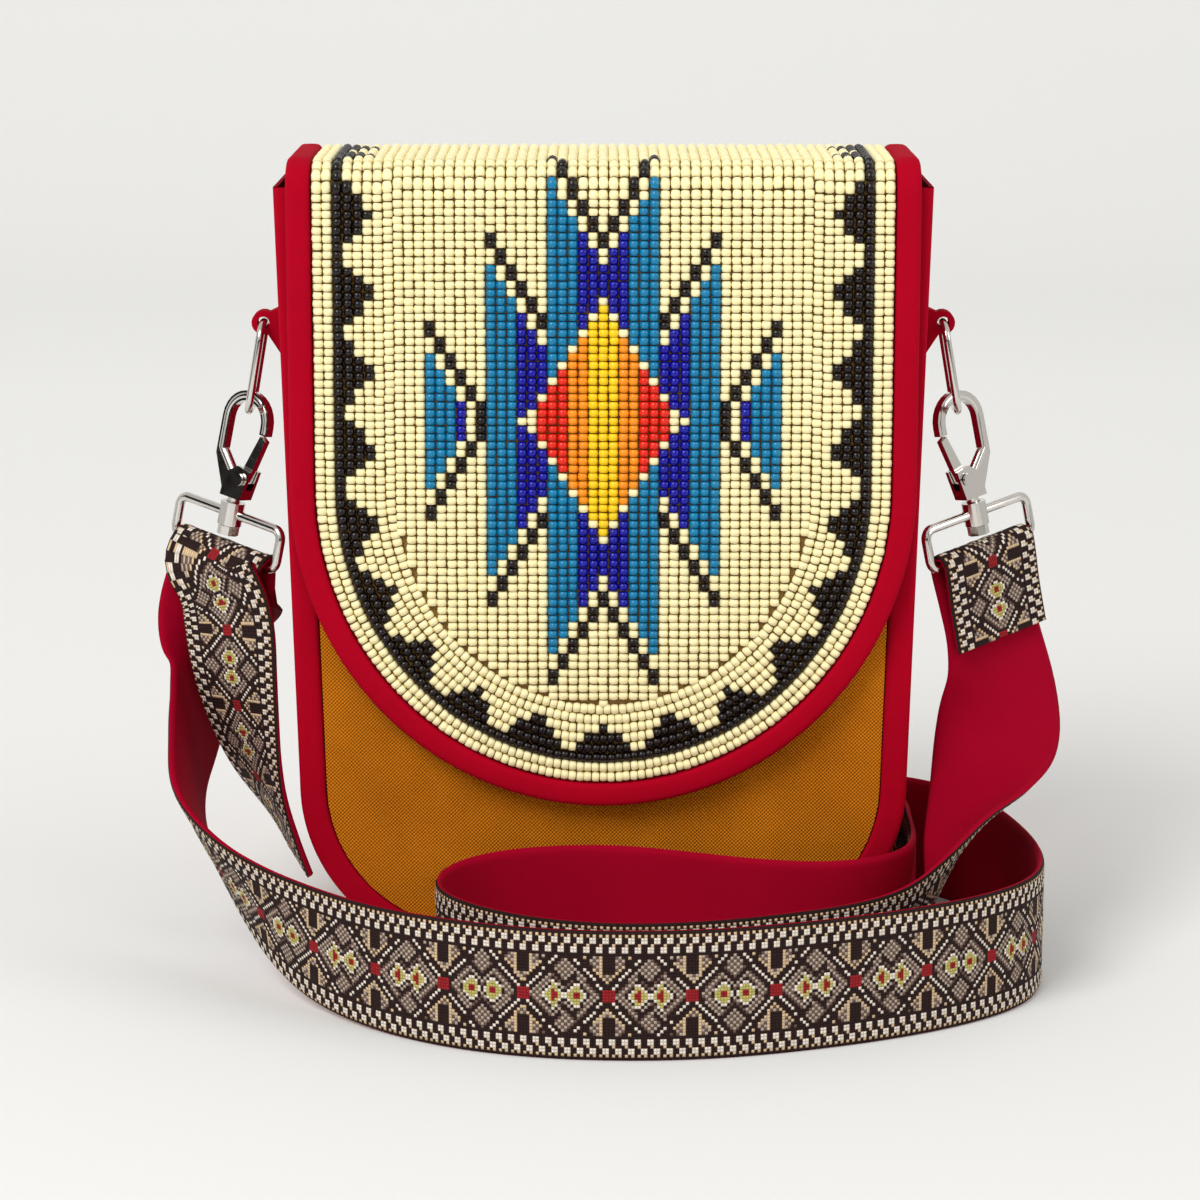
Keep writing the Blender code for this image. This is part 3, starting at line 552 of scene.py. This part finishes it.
def dress_flap_binding(red):
    """The flap's red edge: a folded tape carried round the U, with faint puckers."""
    inset, height = tape_profile(FLAP_BINDING, FLAP_DEEP)
    place, way, _, _ = u_path(0.0, FLAP_END, 2.0)
    place = np.concatenate([place[:1], place, place[-1:]])
    way = np.concatenate([way[:1], way, way[-1:]])
    place[0, 1] = FLAP_END
    place[-1, 1] = FLAP_END
    inner = np.stack([way[:, 1], -way[:, 0]], -1)
    far = np.arange(len(place)) * 2.0
    pucker = 1.0 + 0.02 * np.sin(far * 0.9) * np.sin(far * 0.13)
    flat = place[:, None, :] + inset[None, :, None] * inner[:, None, :]
    points = on_flap(flat[..., 0], flat[..., 1], height[None, :] * pucker[:, None])
    quads = grid_quads(len(place), len(inset), close_columns=True)
    made = piece("flap_tape", points, quads, red)
    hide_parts("flap_binding")


def body_path(step):
    """The bag's outline from the right top round to the left: places and inward ways."""
    corner = np.radians(np.arange(0.0, 90.1, 3.0))
    cx = (LOW_HALF - CORNER_R) + CORNER_R * np.cos(corner)
    cz = CORNER_R - CORNER_R * np.sin(corner)
    rise = np.linspace(BODY_TOP, CORNER_R, int((BODY_TOP - CORNER_R) / step))[:-1]
    side_x = LOW_HALF + (TOP_HALF - LOW_HALF) * (rise - CORNER_R) / (BODY_TOP - CORNER_R)
    x = np.concatenate([side_x, cx])
    z = np.concatenate([rise, cz])
    base = np.linspace(x[-1], -x[-1], 12)[1:-1]
    x = np.concatenate([x, base, -x[::-1]])
    z = np.concatenate([z, 0.0 * base, z[::-1]])
    way = np.stack([np.gradient(x), np.gradient(z)], -1)
    way /= np.linalg.norm(way, axis=1, keepdims=True)
    inner = np.stack([way[:, 1], -way[:, 0]], -1)
    return np.stack([x, z], -1), inner


def dress_body_binding(name, red, y_back, facing):
    """A folded tape round the bag's front or back edge."""
    inset, height = tape_profile(BINDING_WIDE, BINDING_DEEP)
    place, inner = body_path(3.0)
    flat = place[:, None, :] + inset[None, :, None] * inner[:, None, :]
    far = np.arange(len(place)) * 3.0
    pucker = 1.0 + 0.03 * np.sin(far * 0.7) * np.sin(far * 0.11)
    y = y_back + facing * height[None, :] * pucker[:, None]
    points = np.stack([flat[..., 0], y, flat[..., 1]], -1)
    quads = grid_quads(len(place), len(inset), close_columns=True)
    made = piece(name + "_tape", points, quads, red)
    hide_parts(name)


def clasp_axes():
    """The left clasp's own axes as columns: along its loop, across it, and up its pin."""
    a, b = math.radians(CLASP_TILT), math.radians(-CLASP_YAW)
    tilt = np.array([[math.cos(a), 0, math.sin(a)], [0, 1, 0], [-math.sin(a), 0, math.cos(a)]])
    yaw = np.array([[math.cos(b), -math.sin(b), 0], [math.sin(b), math.cos(b), 0], [0, 0, 1]])
    return tilt @ yaw


def in_clasp(local, side):
    """Points in the clasp's own axes as places on the bag's left (-1) or right (1)."""
    world = np.asarray(local) @ clasp_axes().T + np.array(CLASP)
    return world * np.array([-side, 1.0, 1.0])


def arc_points(cx, cz, radius, start, end, steps):
    """Points round an arc in the plane of the first and third axes, between two angles."""
    turn = np.radians(np.linspace(start, end, steps + 1))
    return np.stack([cx + radius * np.cos(turn), 0.0 * turn, cz + radius * np.sin(turn)], -1)


def wire_mesh(name, path, radius, closed, material, body):
    """A round wire: a circle of points square to the path at each of its stations."""
    if closed:
        ahead = np.roll(path, -1, 0) - np.roll(path, 1, 0)
    else:
        ahead = np.gradient(path, axis=0)
    ahead /= np.linalg.norm(ahead, axis=1, keepdims=True)
    spread = path - path.mean(0)
    flat_way = np.linalg.svd(spread)[2][2]
    across = np.cross(ahead, flat_way)
    across /= np.linalg.norm(across, axis=1, keepdims=True)
    other = np.cross(ahead, across)
    turn = np.linspace(0.0, 2.0 * math.pi, WIRE_SIDES, endpoint=False)[None, :, None]
    ring = np.cos(turn) * across[:, None] + np.sin(turn) * other[:, None]
    points = path[:, None] + radius * ring
    quads = grid_quads(len(path), WIRE_SIDES, close_rows=closed, close_columns=True)
    return piece(name, points, quads, material, body)


def rounded_loop(half, drop, bend):
    """A rectangle with rounded corners in the plane of the first and third axes."""
    return np.concatenate([
        arc_points(half - bend, -bend, bend, 90.0, 0.0, 6),
        arc_points(half - bend, -drop + bend, bend, 0.0, -90.0, 6),
        arc_points(-half + bend, -drop + bend, bend, -90.0, -180.0, 6),
        arc_points(-half + bend, -bend, bend, -180.0, -270.0, 6),
    ])


def dress_metal(side, hand, metal):
    """The strap loop, hook bow and side ring as round polished wire."""
    loop = in_clasp(rounded_loop(LOOP_HALF, LOOP_DROP, LOOP_BEND), side)
    wire_mesh("loop_wire_" + hand, loop, WIRE_R, True, metal, "bag")
    arch = HOOK_TALL - HOOK_HALF
    bow = np.concatenate([
        np.linspace((-BOW_FOOT, 0.0, BOW_LOW), (-HOOK_HALF, 0.0, BOW_SHOULDER), 8),
        arc_points(0.0, arch, HOOK_HALF, 180.0, 0.0, 24),
        np.linspace((HOOK_HALF, 0.0, arch - 0.6), (HOOK_HALF, 0.0, BOW_TIP), 3),
    ])
    wire_mesh("bow_wire_" + hand, in_clasp(bow, side), BOW_R, False, metal, "clasp_hook_" + hand)
    ring = rounded_loop(RING_HALF, RING_TALL, RING_BEND)[:, [1, 0, 2]]
    lean = math.radians(RING_TILT)
    x = -RING_X + ring[:, 2] * math.sin(lean)
    z = RING_Z + ring[:, 2] * math.cos(lean)
    path = np.stack([-side * x, CLASP[1] + ring[:, 1], z], -1)
    made = wire_mesh("ring_wire_" + hand, path, RING_WIRE_R, True, metal, "side_ring_" + hand)
    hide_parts("side_ring_" + hand)


def wrap(side):
    """The strap's turn over the loop's low bar, in the clasp's own axes."""
    reach = WIRE_R + 0.4 + STRAP_THICK / 2.0
    turn = np.radians(np.linspace(180.0, 0.0, 9))
    bend = np.stack([0.0 * turn, reach * np.cos(turn), -LOOP_DROP + reach * np.sin(turn)], -1)
    if side > 0:
        fall = [(0.0, LAYER_APART, -LOOP_DROP - TAB_LONG),
                (0.0, LAYER_APART + 0.3, -LOOP_DROP - TAB_LONG / 2.0),
                (0.0, reach - 0.3, -LOOP_DROP - TAB_LONG / 5.0)]
    else:
        fall = [(0.0, reach + 1.3, -LOOP_DROP - TAB_LONG / 5.0)]
    fall = np.array(fall)
    front = fall * np.array([1.0, -1.0, 1.0])
    path = in_clasp(np.concatenate([front, bend, fall[::-1]]), side)
    outward = clasp_axes() @ np.array([-1.0, 0.0, 0.0]) * np.array([-side, 1.0, 1.0])
    return path, np.tile(outward, (len(path), 1))


def strap_guide():
    """The strap's stations from its right end to its left: centres and top edges."""
    middle = STRAP_WIDE / 2.0 + 0.3
    right, right_up = wrap(1)
    left, left_up = wrap(-1)
    floor = np.array([(x, y, middle) for x, y in FLOOR_RUN])
    floor_up = np.tile([0.0, 0.0, 1.0], (len(floor), 1))
    drop, rise, tail = (np.array(part) for part in (RIGHT_DROP, LEFT_RISE, LEFT_TAIL))
    places = np.concatenate([right, drop[:, 0], floor, rise[:, 0], left[::-1], tail[:, 0]])
    ups = np.concatenate([right_up, drop[:, 1], floor_up, rise[:, 1], left_up[::-1], tail[:, 1]])
    return places, ups / np.linalg.norm(ups, axis=1, keepdims=True)


def smooth(values, n, t):
    """Catmull-Rom points: a cubic through values n and n + 1, bent by their neighbours."""
    last = len(values) - 1
    a, b = values[np.maximum(n - 1, 0)], values[n]
    c, d = values[np.minimum(n + 1, last)], values[np.minimum(n + 2, last)]
    t = t[:, None]
    return 0.5 * (2.0 * b + (c - a) * t + (2.0 * a - 5.0 * b + 4.0 * c - d) * t * t
                  + (3.0 * b - a - 3.0 * c + d) * t ** 3)


def eased(path, edge, at):
    """Averages stations along the strap, but not close to either loop's bar or to an end."""
    step = at[1] - at[0]
    width = int(EASE / step) // 2 * 2 + 1
    kernel = np.hanning(width + 2)[1:-1]
    kernel /= kernel.sum()
    bars = [in_clasp([[0.0, 0.0, -LOOP_DROP]], side)[0] for side in (-1, 1)]
    near = np.min([np.linalg.norm(path - bar, axis=1) for bar in bars], axis=0)
    ends = np.minimum(at, at[-1] - at)
    share = np.clip((near - EASE_CLEAR) / EASE_BLEND, 0.0, 1.0)
    share = share * np.clip(ends / EASE - 0.5, 0.0, 1.0)
    out = []
    for values in (path, edge):
        padded = np.pad(values, ((width // 2, width // 2), (0, 0)), mode="edge")
        mean = np.stack([np.convolve(padded[:, k], kernel, mode="valid") for k in range(3)], -1)
        out.append(values + share[:, None] * (mean - values))
    return out


def strap_frames(step):
    """Even stations along the strap: places, unit top edges, lining sides and distances."""
    places, ups = strap_guide()
    fine = 40
    n = np.repeat(np.arange(len(places) - 1), fine)
    t = np.tile(np.arange(fine) / fine, len(places) - 1)
    path, edge = smooth(places, n, t), smooth(ups, n, t)
    far = np.concatenate([[0.0], np.cumsum(np.linalg.norm(np.diff(path, axis=0), axis=1))])
    count = int(round(far[-1] / step))
    at = np.linspace(0.0, far[-1], count + 1)
    path = np.stack([np.interp(at, far, path[:, k]) for k in range(3)], -1)
    edge = np.stack([np.interp(at, far, edge[:, k]) for k in range(3)], -1)
    path, edge = eased(path, edge, at)
    ahead = np.gradient(path, axis=0)
    ahead /= np.linalg.norm(ahead, axis=1, keepdims=True)
    edge = edge - ahead * (edge * ahead).sum(1, keepdims=True)
    edge /= np.linalg.norm(edge, axis=1, keepdims=True)
    lining = np.cross(ahead, edge)
    return path, edge, lining / np.linalg.norm(lining, axis=1, keepdims=True), at


def yarn_names(u, v):
    """The strap's figure: crossing lines, paired diamonds and side bars between dotted edges."""
    a = np.abs(v)
    p = (u + REPEAT / 2.0) % REPEAT - REPEAT / 2.0
    fleck = (np.floor(u / CELL) + np.floor(v / CELL)) % 2 == 0
    name = np.where(fleck, "grey", "umber").astype("<U6")
    slant = a - SLOPE * np.abs(p)
    for low, high, yarn in LINES:
        name[(slant > low) & (slant < high)] = yarn
    back = a - SLOPE * (REPEAT / 2.0 - np.abs(p))
    name[(back > 2.4) & (back < 4.2)] = "brown"
    bar = (np.abs(p) < 2.6) & (a > 6.0)
    name[bar] = "tan"
    name[bar & (np.abs(p) < 1.8)] = "brown"
    q = np.abs(np.abs(p) - 8.8) / 3.0 + a / 3.9
    for size, yarn in DIAMOND_STEPS:
        name[q < size] = yarn
    name[(np.abs(p) < 1.8) & (a < 1.4)] = "red"
    name[a > 11.7] = "brown"
    for near, away, repeat, long, shift, yarn in EDGE_DOTS:
        name[(a > near) & (a < away) & ((u + shift) % repeat < long)] = yarn
    return name


def dress_strap_face(face):
    """The figured face: a ribbon of woven cells, raised a little where light yarns cross it."""
    path, edge, lining, far = strap_frames(CELL)
    v = np.linspace(-STRAP_WIDE / 2.0, STRAP_WIDE / 2.0, CELLS_ACROSS + 1)
    mid_u = (far[:-1] + far[1:]) / 2.0
    mid_v = (v[:-1] + v[1:]) / 2.0
    u_grid, v_grid = np.meshgrid(mid_u, mid_v, indexing="ij")
    names = yarn_names(u_grid, v_grid)
    light = (names == "cream") | (names == "tan") | (names == "olive")
    raised = np.zeros((len(far), len(v)))
    for du in (0, 1):
        for dv in (0, 1):
            raised[du:len(far) - 1 + du, dv:len(v) - 1 + dv] += light * LIGHT_YARN_LIFT
    shoulder = EDGE_DROP * np.clip(np.abs(v) - 17.6, 0.0, None) ** 2 / 1.96
    depth = -(STRAP_THICK / 2.0 + raised - shoulder[None, :] * 0.7)
    points = path[:, None] + v[None, :, None] * edge[:, None] + depth[..., None] * lining[:, None]
    quads = grid_quads(len(far), len(v))
    made = piece("strap_face", points, quads, face)
    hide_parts("strap")
    colour = np.zeros(names.shape + (4,), np.float32)
    rng = np.random.default_rng(5)
    wear = rng.uniform(0.82, 1.0, names.shape)
    for key, value in YARNS.items():
        colour[names == key] = linear(*value)
    colour[..., :3] *= wear[..., None]
    layer = made.data.color_attributes.new("yarn", "FLOAT_COLOR", "CORNER")
    layer.data.foreach_set("color", np.repeat(colour.reshape(-1, 4), 4, axis=0).ravel())
    cells = made.data.uv_layers.new(name="cells")
    r, c = np.meshgrid(np.arange(len(far)), np.arange(len(v)), indexing="ij")
    where = np.stack([r.ravel(), c.ravel()], -1)[quads.ravel()].astype(np.float32)
    cells.data.foreach_set("uv", where.ravel())


def dress_strap_lining(cloth_red, edge_yarn):
    """The red lining: a ribbon with rounded edges and a stitched groove, and the cut ends."""
    back = np.concatenate([[-1.0], np.linspace(-1.0, 1.0, 25), [1.0]])
    path, edge, lining, _ = strap_frames(3.0)
    w = back * STRAP_WIDE / 2.0
    round_edge = np.clip(np.abs(w) - 17.4, 0.0, None) ** 2 / 2.56
    high = STRAP_THICK / 2.0 - EDGE_DROP * round_edge
    high[0] = high[-1] = -STRAP_THICK / 2.0 + 0.55
    stitch = STITCH_DEEP * np.exp(-((np.abs(w) - STITCH_AT) / 0.5) ** 2)
    points = path[:, None] + w[None, :, None] * edge[:, None]
    points = points + (high - stitch)[None, :, None] * lining[:, None]
    quads = grid_quads(len(path), len(w))
    piece("strap_lining", points, quads, cloth_red)
    ends = []
    for row in (0, -1):
        tip = path[row] + w[:, None] * edge[row] + high[:, None] * lining[row]
        face_tip = path[row] + w[:, None] * edge[row] - STRAP_THICK / 2.0 * lining[row]
        ends.append(np.stack([tip, face_tip]))
    points = np.concatenate(ends)
    quads = np.concatenate([grid_quads(2, len(w)), grid_quads(2, len(w)) + 2 * len(w)])
    piece("strap_ends", points, quads, edge_yarn)


def finish_nodes(frame, finishes):
    """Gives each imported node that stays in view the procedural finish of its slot."""
    slots = {row["node"]: row["material_slot"] for row in frame["record"]["subparts"]}
    for name, node in frame["nodes"].items():
        node.data.materials.clear()
        node.data.materials.append(finishes.get(name, finishes[slots[name]]))


def sweep_floor():
    """The floor and its backdrop: a plane that curves up into a wall far behind the bag."""
    turn = np.radians(np.arange(10, 91, 10))
    y = np.concatenate([[FLOOR_FRONT, FLOOR_BACK], FLOOR_BACK + SWEEP_R * np.sin(turn)])
    z = np.concatenate([[0.0, 0.0], SWEEP_R * (1.0 - np.cos(turn))])
    y, z = np.append(y, y[-1]), np.append(z, WALL_TOP)
    x = np.array([-FLOOR_HALF, FLOOR_HALF])
    points = np.stack([np.repeat(x[None], len(y), 0), np.repeat(y[:, None], 2, 1),
                       np.repeat(z[:, None], 2, 1)], -1)
    mesh = bpy.data.meshes.new("floor")
    mesh.from_pydata(points.reshape(-1, 3).tolist(), [], grid_quads(len(y), 2).tolist())
    mesh.shade_smooth()
    paint = Paint("floor", 0.9)
    back = paint.math("MULTIPLY_ADD", paint.axes()["Y"], 0.8, 0.1)
    paint.set(Base_Color=paint.mix(back, FLOOR_COLOUR, WALL_COLOUR), Specular_IOR_Level=0.1)
    mesh.materials.append(paint.material)
    made = bpy.data.objects.new("floor", mesh)
    bpy.context.scene.collection.objects.link(made)


def set_up(made, place, aim):
    """Stands a lamp or a board at its place, turned to its aim."""
    made.location = place
    made.rotation_euler = (Vector(aim) - Vector(place)).to_track_quat("-Z", "Y").to_euler()
    bpy.context.scene.collection.objects.link(made)


def lamp(name, place, size, power):
    """A square soft lamp."""
    light = bpy.data.lights.new(name, "AREA")
    light.size = size
    light.energy = power
    set_up(bpy.data.objects.new(name, light), place, LAMP_AIM)


def dark_card(name, place, wide, tall):
    """A dark board that only reflections show, so that polished metal has dark edges."""
    mesh = bpy.data.meshes.new(name)
    corners = [(-wide, -tall, 0.0), (wide, -tall, 0.0), (wide, tall, 0.0), (-wide, tall, 0.0)]
    mesh.from_pydata(corners, [], [(0, 1, 2, 3)])
    paint = Paint(name, 1.0)
    paint.set(Base_Color=(0.012, 0.010, 0.010, 1.0), Specular_IOR_Level=0.0)
    mesh.materials.append(paint.material)
    made = bpy.data.objects.new(name, mesh)
    made.visible_camera = made.visible_diffuse = made.visible_shadow = False
    set_up(made, place, CARD_AIM)


def studio():
    """Soft daylight from a broad window at the upper left, and a pale room all round."""
    bpy.context.scene.view_settings.view_transform = "Standard"
    world = bpy.data.worlds.new("room")
    world.use_nodes = True
    bpy.context.scene.world = world
    world.node_tree.nodes["Background"].inputs["Color"].default_value = (1.0, 0.99, 0.97, 1.0)
    world.node_tree.nodes["Background"].inputs["Strength"].default_value = WORLD_LIGHT
    for row in LAMPS:
        lamp(*row)
    sweep_floor()
    for row in DARK_CARDS:
        dark_card(*row)


def camera():
    """The photograph's view: twelve degrees down on the bag's front."""
    data = bpy.data.cameras.new("view")
    data.lens = LENS
    data.sensor_width = SENSOR
    made = bpy.data.objects.new("view", data)
    tilt = math.radians(CAMERA_TILT)
    back = Vector((0.0, -math.cos(tilt), math.sin(tilt)))
    made.location = Vector(TARGET) + back * CAMERA_FAR
    made.rotation_euler = (-back).to_track_quat("-Z", "Y").to_euler()
    bpy.context.scene.collection.objects.link(made)
    bpy.context.scene.camera = made


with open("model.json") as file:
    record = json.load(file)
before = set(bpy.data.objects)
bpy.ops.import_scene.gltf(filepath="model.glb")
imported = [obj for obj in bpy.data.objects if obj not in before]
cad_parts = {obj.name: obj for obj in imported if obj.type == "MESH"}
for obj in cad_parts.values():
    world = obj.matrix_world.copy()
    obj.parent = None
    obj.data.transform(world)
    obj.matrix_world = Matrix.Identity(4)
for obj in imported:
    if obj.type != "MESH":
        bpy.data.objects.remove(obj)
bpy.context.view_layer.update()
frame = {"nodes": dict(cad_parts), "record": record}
# Each cloth's second colour is the painted shade in the hollows between its yarn dots
red = cloth("red_tape", linear(178, 0, 32), linear(150, 0, 26), 0.35, 0.04)
red_side = cloth("red_canvas", linear(160, 0, 28), linear(112, 0, 18), 1.1, 0.15, "Y")
lining_red = cloth("lining", linear(164, 0, 36), linear(128, 0, 26), 0.3, 0.03)
ochre = cloth("canvas", linear(232, 140, 26), linear(112, 54, 4), CANVAS_PITCH, CANVAS_DEPTH)
metal = nickel("polished_nickel")
selvedge = cloth("selvedge", linear(70, 44, 38), linear(30, 18, 16), 0.9, 0.1)
finishes = {
    "red_binding": red, "red_gusset": red_side, "ochre_canvas": ochre, "red_lining": lining_red,
    "woven_strap": selvedge, "nickel": metal,
}
for key, (_, _, plate) in GLASS.items():
    finishes[key + "_beads"] = beads(key + "_plate", linear(*plate), linear(*plate))
finishes["flap_panel"] = flap_cloth("flap_core")
finish_nodes(frame, finishes)
dress_beads()
dress_flap_binding(red)
dress_body_binding("front_binding", red, FRONT_Y + BINDING_DEEP, -1.0)
dress_body_binding("back_binding", red, BACK_Y - BINDING_DEEP, 1.0)
for side, hand in ((-1, "left"), (1, "right")):
    dress_metal(side, hand, metal)
dress_strap_face(webbing("figured_webbing"))
dress_strap_lining(lining_red, selvedge)
studio()
camera()
